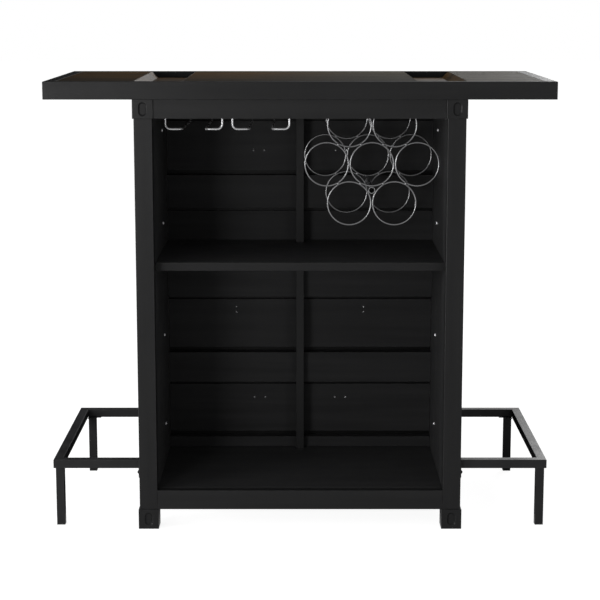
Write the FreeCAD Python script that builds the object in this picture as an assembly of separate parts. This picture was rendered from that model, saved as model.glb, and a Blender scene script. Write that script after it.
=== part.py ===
import FreeCAD, Part
import math
import os

# Home bar: a black cabinet with a wide wood top, wing ends, two hanging racks and side footrests.
# +X runs along the bar, -Y is the open serving side, +Y the guest side, +Z is up.
# The origin is on the floor, under the middle of the bar. All sizes are in millimetres.

# Overall size
top_width = 1184.0
top_depth = 573.0
total_height = 1067.0

# Top: a deep edge band around loose boards, with two bevelled troughs
band_height = 41.0
band_width = 27.0
board_thickness = 25.0
trough_width = 114.0
trough_depth = 16.0
trough_bevel = 16.0
trough_past_post = 1.0
cleat_width = 40.0

# Corner posts, with a cap block and a foot block on each
body_width = 768.0
post_size = 42.5
block_size = 48.5
block_setback = 0.5
cap_height = 44.0
foot_height = 48.5
recess_width = 20.5
recess_height = 33.0
recess_depth = 5.0
recess_slope = 5.0
cover_thickness = 1.5
cover_peg_diameter = 6.0
cover_peg_length = 20.0
cover_clearance = 0.2
glide_diameter = 36.0
glide_thickness = 2.0
glide_showing = 0.5
glide_clearance = 0.2

# Rails, panels, deck and shelf
rail_thickness = 22.0
bottom_rail_height = 46.5
side_panel_thickness = 18.0
side_stile_width = 60.0
side_stile_thickness = 12.0
deck_thickness = 18.0
deck_cleat_size = 18.0
upper_space_height = 402.0
shelf_thickness = 20.0
shelf_setback = 2.5
shelf_pin_diameter = 6.0
shelf_pin_length = 14.0
shelf_pin_inset = 60.0

# Rear wall: narrow and wide boards in turn, on both faces of a thin panel.
# On the serving side the wide boards are set back between thick narrow ones.
wall_face_y = 132.0
wide_board_setback = 22.0
wall_board_thickness = 10.0
back_panel_thickness = 8.0
first_board_height = 25.7
second_narrow_board_height = 78.5
narrow_board_height = 84.0
wide_board_height = 127.0
board_groove = 10.2
least_board_height = 12.0
batten_width = 20.0
batten_depth = 27.0
guest_stile_width = 130.0
guest_stile_thickness = 14.0
guest_stile_centre_x = 130.0

# Screws: round heads on plain shanks
screw_head_diameter = 8.0
screw_head_height = 2.4
screw_shank_diameter = 4.0
screw_bite = 8.0
screw_clearance = 0.1
side_screw_from_deck = 94.0
side_screw_below_shelf = 201.0
side_screw_above_shelf = 63.0
side_screw_below_rail = 48.0
wall_screw_pair_x = 105.5
wall_screw_pair_spacing = 28.0
wall_screw_side_x = 165.5
wall_screw_side_spacing = 14.0
first_board_screw_height = 91.0
second_board_screw_height = 100.0
last_board_screw_height = 51.5

# Bottle rack: two clusters of seven rings, one behind the other, clipped together between their rows
ring_outer_diameter = 106.4
ring_wire = 4.0
ring_gap = 0.6
rack_side_gap = 11.3
rack_behind_cleat = 2.5
rack_length = 240.0
rack_drop = 27.0
hanger_diameter = 5.0
spacer_diameter = 16.0
clip_width = 10.0
clip_height = 7.0
clip_thickness = 1.5

# Stemware rack: pairs of bent wires that make two hanging channels
stem_wire = 5.0
stem_hang_length = 90.0
stem_wall_gap = 1.0
stem_half_width = 67.0
stem_slot = 54.5
stem_bend = 12.0
stem_side_gap = 24.5
stem_channel_pitch = 158.0

# Rack plates, screwed up into the top
plate_length = 34.0
plate_width = 16.0
plate_thickness = 2.0
plate_screw_offset = 10.0
plate_screw_bite = 6.0

# Footrests: square tube frames at both ends
footrest_height = 166.5
footrest_setback = 1.0
bar_width = 22.0
bar_height = 21.0
tube_wall = 1.5
bar_inset = 6.5
leg_size = 20.0
leg_end_inset = 15.5
near_leg_side_inset = 3.0
far_leg_gap = 2.0
far_plate_reach = 12.0
far_plate_thickness = 2.0
tab_thickness = 3.0
tab_drop = 24.0
bolt_head_diameter = 11.0
bolt_head_height = 4.0
plug_thickness = 2.0

# Broken edges on boards and tubes
board_edge = 0.8
thin_edge_share = 0.2
tube_edge = 1.2

# Levels and faces that follow from the sizes above
underside = total_height - board_thickness
band_bottom = total_height - band_height
upper_rail_bottom = band_bottom - cap_height
deck_top = foot_height + bottom_rail_height
shelf_height = underside - upper_space_height
shelf_bottom = shelf_height - shelf_thickness
post_outer_x = body_width / 2
post_inner_x = post_outer_x - post_size
post_centre_x = post_outer_x - post_size / 2
post_centre_y = top_depth / 2 - block_setback - block_size / 2
post_face_y = post_centre_y + post_size / 2
post_back_y = post_centre_y - post_size / 2
rail_back_y = post_face_y - rail_thickness
block_inner_x = post_centre_x - block_size / 2
block_inner_y = post_centre_y - block_size / 2
block_face_y = post_centre_y + block_size / 2
band_inner_x = top_width / 2 - band_width
band_inner_y = top_depth / 2 - band_width
cleat_inner_y = band_inner_y - cleat_width
trough_outer_x = post_outer_x + trough_past_post
trough_inner_x = trough_outer_x - trough_width
panel_outer_x = post_inner_x + side_panel_thickness
wide_face_y = wall_face_y + wide_board_setback
wall_back_y = wide_face_y + wall_board_thickness
panel_back_y = wall_back_y + back_panel_thickness
guest_face_y = panel_back_y + wall_board_thickness
ring_pitch = ring_outer_diameter + ring_gap
row_pitch = ring_pitch * math.sqrt(3) / 2
rack_centre_x = post_inner_x - rack_side_gap - ring_outer_diameter / 2 - ring_pitch
rack_centre_z = underside - rack_drop - ring_outer_diameter / 2 - row_pitch
rack_front_y = -cleat_inner_y + rack_behind_cleat + plate_length / 2
rack_rear_y = rack_front_y + rack_length
stem_first_x = -post_inner_x + stem_side_gap + stem_half_width
stem_second_x = stem_first_x + stem_channel_pitch
stem_rear_y = wall_face_y - stem_wall_gap - plate_length / 2
bar_outer_y = post_centre_y - bar_inset + bar_width / 2
bar_inner_y = bar_outer_y - bar_width
bar_bottom = footrest_height - bar_height
outer_bar_face_x = top_width / 2 - footrest_setback
outer_bar_inner_x = outer_bar_face_x - bar_width
tab_face_x = post_outer_x + tab_thickness


def vector(x, y, z):
    return FreeCAD.Vector(x, y, z)


def block(x_low, x_high, y_low, y_high, z_low, z_high):
    """A straight-sided piece with its edges broken, less so where it is thin."""
    sides = (x_high - x_low, y_high - y_low, z_high - z_low)
    shape = Part.makeBox(*sides, vector(x_low, y_low, z_low))
    return shape.makeChamfer(min(board_edge, min(sides) * thin_edge_share), shape.Edges)


def tube(axis, x_low, x_high, y_low, y_high, z_low, z_high):
    """A rectangular tube, open at both ends along its axis."""
    low = [x_low, y_low, z_low]
    high = [x_high, y_high, z_high]
    outer = Part.makeBox(*[b - a for a, b in zip(low, high)], vector(*low))
    along = [e for e in outer.Edges if abs(e.tangentAt(e.FirstParameter)[axis]) > 0.5]
    outer = outer.makeFillet(tube_edge, along)
    for side in range(3):
        if side != axis:
            low[side] += tube_wall
            high[side] -= tube_wall
    bore = Part.makeBox(*[b - a for a, b in zip(low, high)], vector(*low))
    return outer.cut(bore)


def rod(start, direction, length, diameter):
    return Part.makeCylinder(diameter / 2, length, start, direction)


def dome(base, direction, diameter, height):
    """A low round head: a slice of a ball, standing on a flat face."""
    ball = (diameter * diameter / 4 + height * height) / (2 * height)
    half_slope = math.asin(diameter / 2 / ball) / 2
    rim = vector(diameter / 2, 0, 0)
    crown = vector(0, 0, height)
    between = vector(ball * math.sin(half_slope), 0, height - ball + ball * math.cos(half_slope))
    profile = Part.Wire([
        Part.LineSegment(vector(0, 0, 0), rim).toShape(),
        Part.Arc(rim, between, crown).toShape(),
        Part.LineSegment(crown, vector(0, 0, 0)).toShape(),
    ])
    shape = Part.Face(profile).revolve(vector(0, 0, 0), vector(0, 0, 1), 360)
    shape.Placement = FreeCAD.Placement(base, FreeCAD.Rotation(vector(0, 0, 1), direction))
    return shape


def oblong(front, width, height, depth, slope):
    """An upright oblong with round ends, from its front towards +Y, where each side comes in by slope."""
    half = width / 2
    run = vector(0, 0, height - width)
    low = front - run / 2
    inward = vector(0, 1, 0)
    floor = low + inward * depth
    corners = [
        low - vector(half, 0, 0), low + vector(half, 0, 0),
        floor + vector(half - slope, 0, 0), floor - vector(half - slope, 0, 0),
        low - vector(half, 0, 0),
    ]
    middle = Part.Face(Part.makePolygon(corners)).extrude(run)
    ends = [Part.makeCone(half, half - slope, depth, end, inward) for end in (low, low + run)]
    return middle.multiFuse(ends).removeSplitter()


def screw(face_point, outward, length):
    """A round-headed screw: its head stands on face_point, its shank goes the other way."""
    head = dome(face_point, outward, screw_head_diameter, screw_head_height)
    return head.fuse(rod(face_point, outward * -1, length, screw_shank_diameter)).removeSplitter()


def drill(shape, face_point, inward, length):
    """The shape with a hole for a screw's shank."""
    return shape.cut(rod(face_point, inward, length, screw_shank_diameter + 2 * screw_clearance))


def bent_wire(points, bend, diameter):
    """A round wire through the points, with every corner bent to the same radius."""
    edges = []
    start = points[0]
    for before, corner, after in zip(points, points[1:], points[2:]):
        arriving = (corner - before).normalize()
        leaving = (after - corner).normalize()
        half_turn = arriving.getAngle(leaving) / 2
        cut_back = bend * math.tan(half_turn)
        bend_start = corner - arriving * cut_back
        bend_end = corner + leaving * cut_back
        inward = (leaving - arriving).normalize()
        bend_middle = corner + inward * (bend / math.cos(half_turn) - bend)
        edges.append(Part.LineSegment(start, bend_start).toShape())
        edges.append(Part.Arc(bend_start, bend_middle, bend_end).toShape())
        start = bend_end
    edges.append(Part.LineSegment(start, points[-1]).toShape())
    section = Part.Wire(Part.makeCircle(diameter / 2, points[0], points[1] - points[0]))
    return Part.Wire(edges).makePipeShell([section], True, False)


def flipped_x(shape):
    return shape.mirror(vector(0, 0, 0), vector(1, 0, 0))


def flipped_y(shape):
    return shape.mirror(vector(0, 0, 0), vector(0, 1, 0))


def at_four_corners(shape):
    return [shape, flipped_x(shape), flipped_y(shape), flipped_x(flipped_y(shape))]


os.makedirs("parts", exist_ok=True)


def save(node, *solids):
    shape = solids[0] if len(solids) == 1 else Part.makeCompound(list(solids))
    shape.exportStep("parts/" + node + ".step")


def save_pair(node, right_shape):
    """The right-hand piece and its mirror image on the left."""
    save(node + "_right", right_shape)
    save(node + "_left", flipped_x(right_shape))


def build_top():
    half_width = top_width / 2
    half_depth = top_depth / 2
    near_band = block(-half_width, half_width, -half_depth, -band_inner_y, band_bottom, total_height)
    save("top_band_near", near_band)
    save("top_band_far", flipped_y(near_band))
    save_pair("top_band", block(
        band_inner_x, half_width, -band_inner_y, band_inner_y, band_bottom, total_height))
    save_pair("top_wing_board", block(
        trough_outer_x, band_inner_x, -band_inner_y, band_inner_y, underside, total_height))

    trough = block(
        trough_inner_x, trough_outer_x, -band_inner_y, band_inner_y, underside, total_height)
    floor = total_height - trough_depth
    hollow = Part.Face(Part.makePolygon([
        vector(trough_inner_x, -band_inner_y, total_height),
        vector(trough_inner_x + trough_bevel, -band_inner_y, floor),
        vector(trough_outer_x - trough_bevel, -band_inner_y, floor),
        vector(trough_outer_x, -band_inner_y, total_height),
        vector(trough_outer_x, -band_inner_y, total_height + board_edge),
        vector(trough_inner_x, -band_inner_y, total_height + board_edge),
        vector(trough_inner_x, -band_inner_y, total_height),
    ])).extrude(vector(0, 2 * band_inner_y, 0))
    trough = trough.cut(hollow)
    centre_board = block(
        -trough_inner_x, trough_inner_x, -band_inner_y, band_inner_y, underside, total_height)
    for node, board in (
        ("top_trough_right", trough), ("top_trough_left", flipped_x(trough)),
        ("top_centre_board", centre_board),
    ):
        for start in rack_screw_points():
            board = drill(board, start, vector(0, 0, 1), plate_thickness + plate_screw_bite)
        save(node, board)

    near_cleat = block(
        -band_inner_x, band_inner_x, -band_inner_y, -cleat_inner_y, band_bottom, underside)
    post_cleat = block(
        post_inner_x, post_outer_x, -cleat_inner_y, cleat_inner_y, band_bottom, underside)
    end_cleat = block(
        band_inner_x - cleat_width, band_inner_x, -cleat_inner_y, cleat_inner_y,
        band_bottom, underside)
    save("top_cleats", near_cleat, flipped_y(near_cleat), post_cleat, flipped_x(post_cleat),
         end_cleat, flipped_x(end_cleat))


def covered(corner_block, height):
    """The near right block with an oblong recess in its face, and the cover plate at the bottom of it."""
    inward = vector(0, 1, 0)
    face = vector(post_centre_x, -block_face_y, height)
    seat = face + inward * recess_depth
    hole = cover_peg_diameter + 2 * cover_clearance
    corner_block = corner_block.cut(oblong(face, recess_width, recess_height, recess_depth, recess_slope))
    corner_block = corner_block.cut(rod(seat, inward, cover_peg_length, hole))
    open_depth = recess_depth - cover_thickness
    smaller = 2 * (recess_slope * open_depth / recess_depth + cover_clearance)
    plate = oblong(
        face + inward * open_depth, recess_width - smaller, recess_height - smaller,
        cover_thickness, recess_slope * cover_thickness / recess_depth)
    peg = rod(seat, inward, cover_peg_length, cover_peg_diameter)
    return corner_block, plate.fuse(peg).removeSplitter()


def build_posts():
    half = post_size / 2
    near_right = block(
        post_centre_x - half, post_centre_x + half, -post_centre_y - half, -post_centre_y + half,
        foot_height, upper_rail_bottom)
    save_pair("post_near", near_right)
    save_pair("post_far", flipped_y(near_right))

    half = block_size / 2
    covers = []
    upward = vector(0, 0, 1)
    glide_start = vector(post_centre_x, -post_centre_y, 0)
    pocket = rod(glide_start, upward, glide_thickness, glide_diameter + 2 * glide_clearance)
    for node, low, high in (
        ("post_caps", upper_rail_bottom, band_bottom), ("post_feet", glide_showing, foot_height),
    ):
        corner_block = block(
            post_centre_x - half, post_centre_x + half,
            -post_centre_y - half, -post_centre_y + half, low, high)
        corner_block, cover = covered(corner_block.cut(pocket), (low + high) / 2)
        save(node, *at_four_corners(corner_block))
        covers += at_four_corners(cover)
    save("corner_covers", *covers)
    save("post_glides", *at_four_corners(rod(glide_start, upward, glide_thickness, glide_diameter)))


def build_rails():
    upper = block(
        -block_inner_x, block_inner_x, -post_face_y, -rail_back_y, upper_rail_bottom, band_bottom)
    save("upper_rail_near", upper)
    save("upper_rail_far", flipped_y(upper))
    bottom = block(-post_inner_x, post_inner_x, -post_face_y, -rail_back_y, foot_height, deck_top)
    save("bottom_rail_near", bottom)
    save("bottom_rail_far", flipped_y(bottom))
    upper_end = block(
        post_inner_x, post_outer_x, -block_inner_y, block_inner_y, upper_rail_bottom, band_bottom)
    save("upper_rails_ends", upper_end, flipped_x(upper_end))
    bottom_end = block(
        panel_outer_x, post_outer_x, -post_back_y, post_back_y, foot_height, deck_top)
    save("bottom_rails_ends", bottom_end, flipped_x(bottom_end))


def side_screw_heights():
    return (
        deck_top + side_screw_from_deck,
        shelf_bottom - side_screw_below_shelf,
        shelf_height + side_screw_above_shelf,
        upper_rail_bottom - side_screw_below_rail,
    )


def build_sides():
    panel = block(
        post_inner_x, panel_outer_x, -post_back_y, post_back_y, foot_height, upper_rail_bottom)
    stile = block(
        panel_outer_x, panel_outer_x + side_stile_thickness,
        -side_stile_width / 2, side_stile_width / 2, deck_top, upper_rail_bottom)
    outward = vector(1, 0, 0)
    length = side_panel_thickness + screw_bite
    screws = []
    for height in side_screw_heights():
        start = vector(post_inner_x, 0, height)
        panel = drill(panel, start, outward, length)
        stile = drill(stile, start, outward, length)
        screws.append(screw(start, outward * -1, length))
    save_pair("side_panel", panel)
    save("side_stiles", stile, flipped_x(stile))
    save("side_panel_screws", *screws, *[flipped_x(s) for s in screws])


def wall_screw_points():
    """Where screws enter the rear wall on the right half: pairs side by side, and one pair upright."""
    wide_bottoms = [low for low, high in wall_board_levels()[1:-1:2]]
    points = []
    for height in (
        wide_bottoms[0] + first_board_screw_height, wide_bottoms[-1] + last_board_screw_height,
    ):
        for shift in (-wall_screw_pair_spacing / 2, wall_screw_pair_spacing / 2):
            points.append(vector(wall_screw_pair_x + shift, wide_face_y, height))
    for shift in (-wall_screw_side_spacing / 2, wall_screw_side_spacing / 2):
        height = wide_bottoms[1] + second_board_screw_height + shift
        points.append(vector(wall_screw_side_x, wide_face_y, height))
    return points


def wall_board_levels():
    """Bottom and top of each board, from the deck up: a narrow one, then wide and narrow in turn.
    The last board closes what is left."""
    levels = []
    low = deck_top
    height = first_board_height
    while low + height + board_groove + least_board_height < underside:
        levels.append((low, low + height))
        low = low + height + board_groove
        if len(levels) % 2 == 1:
            height = wide_board_height
        else:
            height = second_narrow_board_height if len(levels) == 2 else narrow_board_height
    return levels + [(low, underside)]


def split_levels():
    """The levels of the wide boards, and those of the narrow ones with the closing board."""
    levels = wall_board_levels()
    return levels[1:-1:2], levels[0:-1:2] + levels[-1:]


def wall_face_between(low, high):
    """The face that a shelf between two levels meets: a narrow board's, where one reaches there."""
    narrow_levels = split_levels()[1]
    meets_narrow = any(bottom < high and top > low for bottom, top in narrow_levels)
    return wall_face_y if meets_narrow else wide_face_y


def build_rear_wall():
    points = wall_screw_points()
    points += [vector(-p.x, p.y, p.z) for p in points]
    to_guests = vector(0, 1, 0)
    length = guest_face_y - wide_face_y + screw_bite

    wide_levels, narrow_levels = split_levels()
    for node, levels, near_y, far_y in (
        ("server_boards_wide", wide_levels, wide_face_y, wall_back_y),
        ("server_boards_narrow", narrow_levels, wall_face_y, wall_back_y),
        ("guest_boards_wide", wide_levels, panel_back_y, guest_face_y),
        ("guest_boards_narrow", narrow_levels, panel_back_y, guest_face_y),
    ):
        boards = []
        for low, high in levels:
            board = block(-post_inner_x, post_inner_x, near_y, far_y, low, high)
            for point in points:
                board = drill(board, point, to_guests, length)
            boards.append(board)
        save(node, *boards)

    panel = block(-post_inner_x, post_inner_x, wall_back_y, panel_back_y, deck_top, underside)
    stile = block(
        guest_stile_centre_x - guest_stile_width / 2, guest_stile_centre_x + guest_stile_width / 2,
        guest_face_y, guest_face_y + guest_stile_thickness, deck_top, underside)
    for point in points:
        panel = drill(panel, point, to_guests, length)
        stile = drill(stile, point, to_guests, length)
    save("wall_panel", panel)
    save("guest_stiles", stile, flipped_x(stile))
    save("wall_screws", *[screw(point, vector(0, -1, 0), length) for point in points])

    batten_face_y = wall_face_y - batten_depth
    lower = block(-batten_width / 2, batten_width / 2, batten_face_y, wall_face_y, deck_top, shelf_bottom)
    upper = block(-batten_width / 2, batten_width / 2, batten_face_y, wall_face_y, shelf_height, underside)
    save("centre_battens", lower, upper)


def build_deck_and_shelf():
    deck_bottom = deck_top - deck_thickness
    save("bottom_deck", block(
        -post_inner_x, post_inner_x, -rail_back_y, rail_back_y, deck_bottom, deck_top))
    cleat = block(
        post_inner_x - deck_cleat_size, post_inner_x, -post_back_y, post_back_y,
        deck_bottom - deck_cleat_size, deck_bottom)
    save("deck_cleats", cleat, flipped_x(cleat))

    shelf_front_y = -post_back_y + shelf_setback
    shelf_back_y = wall_face_between(shelf_bottom, shelf_height)
    save("middle_shelf", block(
        -post_inner_x, post_inner_x, shelf_front_y, shelf_back_y, shelf_bottom, shelf_height))
    pins = []
    for y in (shelf_front_y + shelf_pin_inset, wall_face_y - shelf_pin_inset):
        pins.append(rod(
            vector(post_inner_x, y, shelf_bottom - shelf_pin_diameter / 2),
            vector(-1, 0, 0), shelf_pin_length, shelf_pin_diameter))
    save("shelf_pins", *pins, *[flipped_x(p) for p in pins])


def ring_centres():
    """Middle of each ring, as x and z: two above, three across, two below."""
    centres = []
    for row, count in ((1, 2), (0, 3), (-1, 2)):
        for place in range(count):
            x = rack_centre_x + (place - (count - 1) / 2) * ring_pitch
            centres.append((x, rack_centre_z + row * row_pitch))
    return centres


def ring_contacts():
    """Points where rings of two rows meet, with the turn of the line that joins the two rings."""
    contacts = []
    centres = ring_centres()
    for index, (x, z) in enumerate(centres):
        for other_x, other_z in centres[index + 1:]:
            if other_z < z and math.hypot(other_x - x, other_z - z) < ring_pitch + ring_gap:
                turn = math.degrees(math.atan2(other_z - z, other_x - x))
                contacts.append(((x + other_x) / 2, (z + other_z) / 2, turn))
    return contacts


def hanger_points():
    """Where the bottle rack hangs: above both rings of the top row, front and rear."""
    top_row = ring_centres()[:2]
    return [(x, y) for x, z in top_row for y in (rack_front_y, rack_rear_y)]


def stem_plate_points():
    """Where the stemware wires meet the top: wide apart in front, and over the slot's sides at the rear."""
    points = []
    for centre in (stem_first_x, stem_second_x):
        for side in (-1, 1):
            points.append((centre + side * stem_half_width, rack_front_y))
            points.append((centre + side * stem_slot / 2, stem_rear_y))
    return points


def plate_points():
    return hanger_points() + stem_plate_points()


def rack_screw_points():
    """One screw through each rack plate, beside its wire."""
    start_z = underside - plate_thickness
    return [vector(x, y + plate_screw_offset, start_z) for x, y in plate_points()]


def build_bottle_rack():
    ring_middle = (ring_outer_diameter - ring_wire) / 2
    across = vector(0, 1, 0)
    for node, y in (("front", rack_front_y), ("rear", rack_rear_y)):
        rings = [
            Part.makeTorus(ring_middle, ring_wire / 2, vector(x, y, z), across)
            for x, z in ring_centres()
        ]
        save("bottle_rack_" + node + "_rings", *rings)

    clips = []
    for face_y, direction in ((rack_front_y - ring_wire / 2, -1), (rack_rear_y + ring_wire / 2, 1)):
        low_y = min(face_y, face_y + direction * clip_thickness)
        for x, z, turn in ring_contacts():
            clip = Part.makeBox(
                clip_width, clip_thickness, clip_height,
                vector(x - clip_width / 2, low_y, z - clip_height / 2))
            clip.rotate(vector(x, 0, z), vector(0, 1, 0), -turn)
            clips.append(clip)
    save("bottle_rack_clips", *clips)

    spacer_z = rack_centre_z - ring_pitch / math.sqrt(3)
    start = vector(rack_centre_x, rack_front_y - ring_wire / 2, spacer_z)
    outer = rod(start, across, rack_length + ring_wire, spacer_diameter)
    save("bottle_rack_spacer", outer.cut(
        rod(start, across, rack_length + ring_wire, spacer_diameter - 2 * tube_wall)))

    rod_bottom = underside - rack_drop
    hangers = [
        rod(vector(x, y, rod_bottom), vector(0, 0, 1), rack_drop - plate_thickness, hanger_diameter)
        for x, y in hanger_points()
    ]
    save("bottle_rack_hangers", *hangers)


def build_stemware_rack():
    wire_top = underside - plate_thickness
    foot_z = underside - stem_hang_length
    for name, centre in (("first", stem_first_x), ("second", stem_second_x)):
        wires = []
        for side in (-1, 1):
            wall_x = centre + side * stem_half_width
            foot_x = centre + side * stem_slot / 2
            wires.append(bent_wire([
                vector(wall_x, rack_front_y, wire_top),
                vector(wall_x, rack_front_y, foot_z),
                vector(foot_x, rack_front_y, foot_z),
                vector(foot_x, stem_rear_y, foot_z),
                vector(foot_x, stem_rear_y, wire_top),
            ], stem_bend, stem_wire))
        save("stemware_" + name + "_wires", *wires)


def build_rack_plates():
    low_z = underside - plate_thickness
    plates = [
        block(x - plate_width / 2, x + plate_width / 2, y - plate_length / 2, y + plate_length / 2,
              low_z, underside)
        for x, y in plate_points()
    ]
    points = rack_screw_points()
    upward = vector(0, 0, 1)
    length = plate_thickness + plate_screw_bite
    plates = [drill(plate, point, upward, length) for plate, point in zip(plates, points)]
    save("rack_plates", *plates)
    save("rack_screws", *[screw(point, upward * -1, length) for point in points])


def prism(height, *corners):
    """An upright piece on a flat outline."""
    return Part.Face(Part.makePolygon([*corners, corners[0]])).extrude(vector(0, 0, height))


def build_footrests():
    outer_corner = vector(outer_bar_face_x, -bar_outer_y, bar_bottom)
    inner_corner = vector(outer_bar_inner_x, -bar_inner_y, bar_bottom)
    past_near_bar = prism(
        bar_height, outer_corner, inner_corner, vector(outer_bar_face_x, -bar_inner_y, bar_bottom))
    past_outer_bar = prism(
        bar_height, outer_corner, inner_corner, vector(outer_bar_inner_x, -bar_outer_y, bar_bottom))
    outer_bar = tube(
        1, outer_bar_inner_x, outer_bar_face_x, -bar_outer_y, bar_outer_y, bar_bottom, footrest_height)
    save_pair("footrest_outer_bar", outer_bar.cut(past_outer_bar).cut(flipped_y(past_outer_bar)))
    near_bar = tube(
        0, tab_face_x, outer_bar_face_x, -bar_outer_y, -bar_inner_y, bar_bottom, footrest_height)
    near_bar = near_bar.cut(past_near_bar)
    save_pair("footrest_near_bar", near_bar)
    save_pair("footrest_far_bar", flipped_y(near_bar))

    near_leg_x = outer_bar_face_x - near_leg_side_inset
    near_leg_y = -bar_outer_y + leg_end_inset
    near_leg = tube(
        2, near_leg_x - leg_size, near_leg_x, near_leg_y, near_leg_y + leg_size,
        plug_thickness, bar_bottom)
    far_leg_x = outer_bar_inner_x - far_leg_gap
    far_leg_y = bar_outer_y - leg_end_inset
    plate_bottom = bar_bottom - far_plate_thickness
    far_leg = tube(
        2, far_leg_x - leg_size, far_leg_x, far_leg_y - leg_size, far_leg_y,
        plug_thickness, plate_bottom)
    save("footrest_legs_right", near_leg, far_leg)
    save("footrest_legs_left", flipped_x(near_leg), flipped_x(far_leg))

    leg_inner_x = far_leg_x - leg_size
    leg_near_y = far_leg_y - leg_size
    plate_inner_x = leg_inner_x - far_plate_reach
    plate_outline = (
        (plate_inner_x, bar_inner_y), (leg_inner_x, bar_inner_y), (leg_inner_x, leg_near_y),
        (outer_bar_inner_x, leg_near_y), (outer_bar_inner_x, bar_outer_y), (plate_inner_x, bar_outer_y),
    )
    leg_plate = prism(far_plate_thickness, *[vector(x, y, plate_bottom) for x, y in plate_outline])
    leg_plate = leg_plate.makeChamfer(far_plate_thickness * thin_edge_share, leg_plate.Edges)
    plugs = []
    for x, y in ((near_leg_x, near_leg_y), (far_leg_x, far_leg_y - leg_size)):
        plugs.append(block(x - leg_size, x, y, y + leg_size, 0, plug_thickness))
    save("footrest_plugs", *plugs, *[flipped_x(p) for p in plugs])

    tab_bottom = bar_bottom - tab_drop
    tab = block(
        post_outer_x, tab_face_x, -bar_outer_y, -bar_inner_y, tab_bottom, footrest_height)
    bolt = dome(
        vector(tab_face_x, -(bar_outer_y + bar_inner_y) / 2, bar_bottom - tab_drop / 2),
        vector(1, 0, 0), bolt_head_diameter, bolt_head_height)
    save("footrest_plates", *at_four_corners(tab), leg_plate, flipped_x(leg_plate))
    save("footrest_bolts", *at_four_corners(bolt))


build_top()
build_posts()
build_rails()
build_sides()
build_rear_wall()
build_deck_and_shelf()
build_bottle_rack()
build_stemware_rack()
build_rack_plates()
build_footrests()
print("parts:", len(os.listdir("parts")))
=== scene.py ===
import bpy
import bmesh
import math
from mathutils import Matrix, Vector


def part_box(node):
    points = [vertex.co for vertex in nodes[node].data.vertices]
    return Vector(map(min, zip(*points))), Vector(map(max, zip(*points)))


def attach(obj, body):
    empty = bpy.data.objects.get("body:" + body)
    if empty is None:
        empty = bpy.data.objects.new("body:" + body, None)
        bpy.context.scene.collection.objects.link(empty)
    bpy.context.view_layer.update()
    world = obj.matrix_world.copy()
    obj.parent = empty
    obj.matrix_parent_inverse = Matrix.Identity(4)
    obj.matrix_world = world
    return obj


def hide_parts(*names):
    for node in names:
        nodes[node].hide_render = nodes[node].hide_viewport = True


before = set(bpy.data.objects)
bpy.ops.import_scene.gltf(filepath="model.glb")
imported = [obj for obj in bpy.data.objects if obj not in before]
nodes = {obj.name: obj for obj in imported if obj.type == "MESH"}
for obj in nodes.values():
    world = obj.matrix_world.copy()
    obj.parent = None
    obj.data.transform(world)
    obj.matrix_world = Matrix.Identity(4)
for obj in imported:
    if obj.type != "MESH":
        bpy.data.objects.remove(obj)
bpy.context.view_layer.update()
scene = bpy.context.scene
print("frame loaded:", len(nodes), "nodes")


# Small helpers for shader trees

def feed(tree, socket, value):
    if isinstance(value, bpy.types.NodeSocket):
        tree.links.new(value, socket)
    else:
        socket.default_value = value


def put(tree, kind, values=None, **settings):
    node = tree.nodes.new("ShaderNode" + kind)
    for name, value in settings.items():
        setattr(node, name, value)
    for name, value in (values or {}).items():
        feed(tree, node.inputs[name], value)
    return node


def calc(tree, operation, first, second=0.0):
    return put(tree, "Math", {0: first, 1: second}, operation=operation).outputs[0]


def spread(tree, value, low, high, newLow=0.0, newHigh=1.0):
    values = {"Value": value, "From Min": low, "From Max": high, "To Min": newLow, "To Max": newHigh}
    return put(tree, "MapRange", values).outputs["Result"]


def blendColours(tree, factor, first, second):
    return put(tree, "Mix", {0: factor, 6: first, 7: second}, data_type="RGBA").outputs[2]


def noise(tree, vector, scale, detail=4.0, roughness=0.55):
    values = {"Vector": vector, "Scale": scale, "Detail": detail, "Roughness": roughness}
    return put(tree, "TexNoise", values).outputs["Fac"]


def stretched(tree, vector, scale, shift=(0.0, 0.0, 0.0)):
    return put(tree, "Mapping", {"Vector": vector, "Scale": scale, "Location": shift}).outputs["Vector"]


def newGroup(name, inputs, outputs):
    group = bpy.data.node_groups.new(name, "ShaderNodeTree")
    for label, kind, value in inputs:
        socket = group.interface.new_socket(
            name=label, in_out="INPUT", socket_type="NodeSocket" + kind)
        if value is not None:
            socket.default_value = value
    for label, kind in outputs:
        group.interface.new_socket(name=label, in_out="OUTPUT", socket_type="NodeSocket" + kind)
    source = group.nodes.new("NodeGroupInput")
    target = group.nodes.new("NodeGroupOutput")
    return group, source.outputs, target.inputs


def useGroup(tree, group, values):
    node = put(tree, "Group", node_tree=group)
    for name, value in values.items():
        feed(tree, node.inputs[name], value)
    return node.outputs


def startMaterial(name):
    material = bpy.data.materials.new(name)
    material.use_nodes = True
    tree = material.node_tree
    place = put(tree, "TexCoord").outputs["Object"]
    return material, tree, tree.nodes["Principled BSDF"].inputs, place


def bump(tree, height, distance, strength):
    return put(tree, "Bump", {"Height": height, "Distance": distance, "Strength": strength}).outputs[0]


def dot(tree, first, second):
    return put(tree, "VectorMath", {0: first, 1: second}, operation="DOT_PRODUCT").outputs["Value"]


# Shared effects: edges that hands rub, pores under paint, hand marks

sharedEffects = {
    "rubTurn": (0.995, 0.90),    # cosine of an edge's turn, from no rub to full rub
    "rubPatches": (0.35, 0.65),
    "poreEdges": (0.42, 0.60),
    "toneScale": 0.05,           # slow change of tone, as a share of the pores' scale
    "toneEdges": (0.3, 0.7),
    "markEdges": (0.45, 0.75),
    "sideTurn": (0.7, 0.9),      # cosine of the turn away from a worn side, from none to full
}


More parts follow.
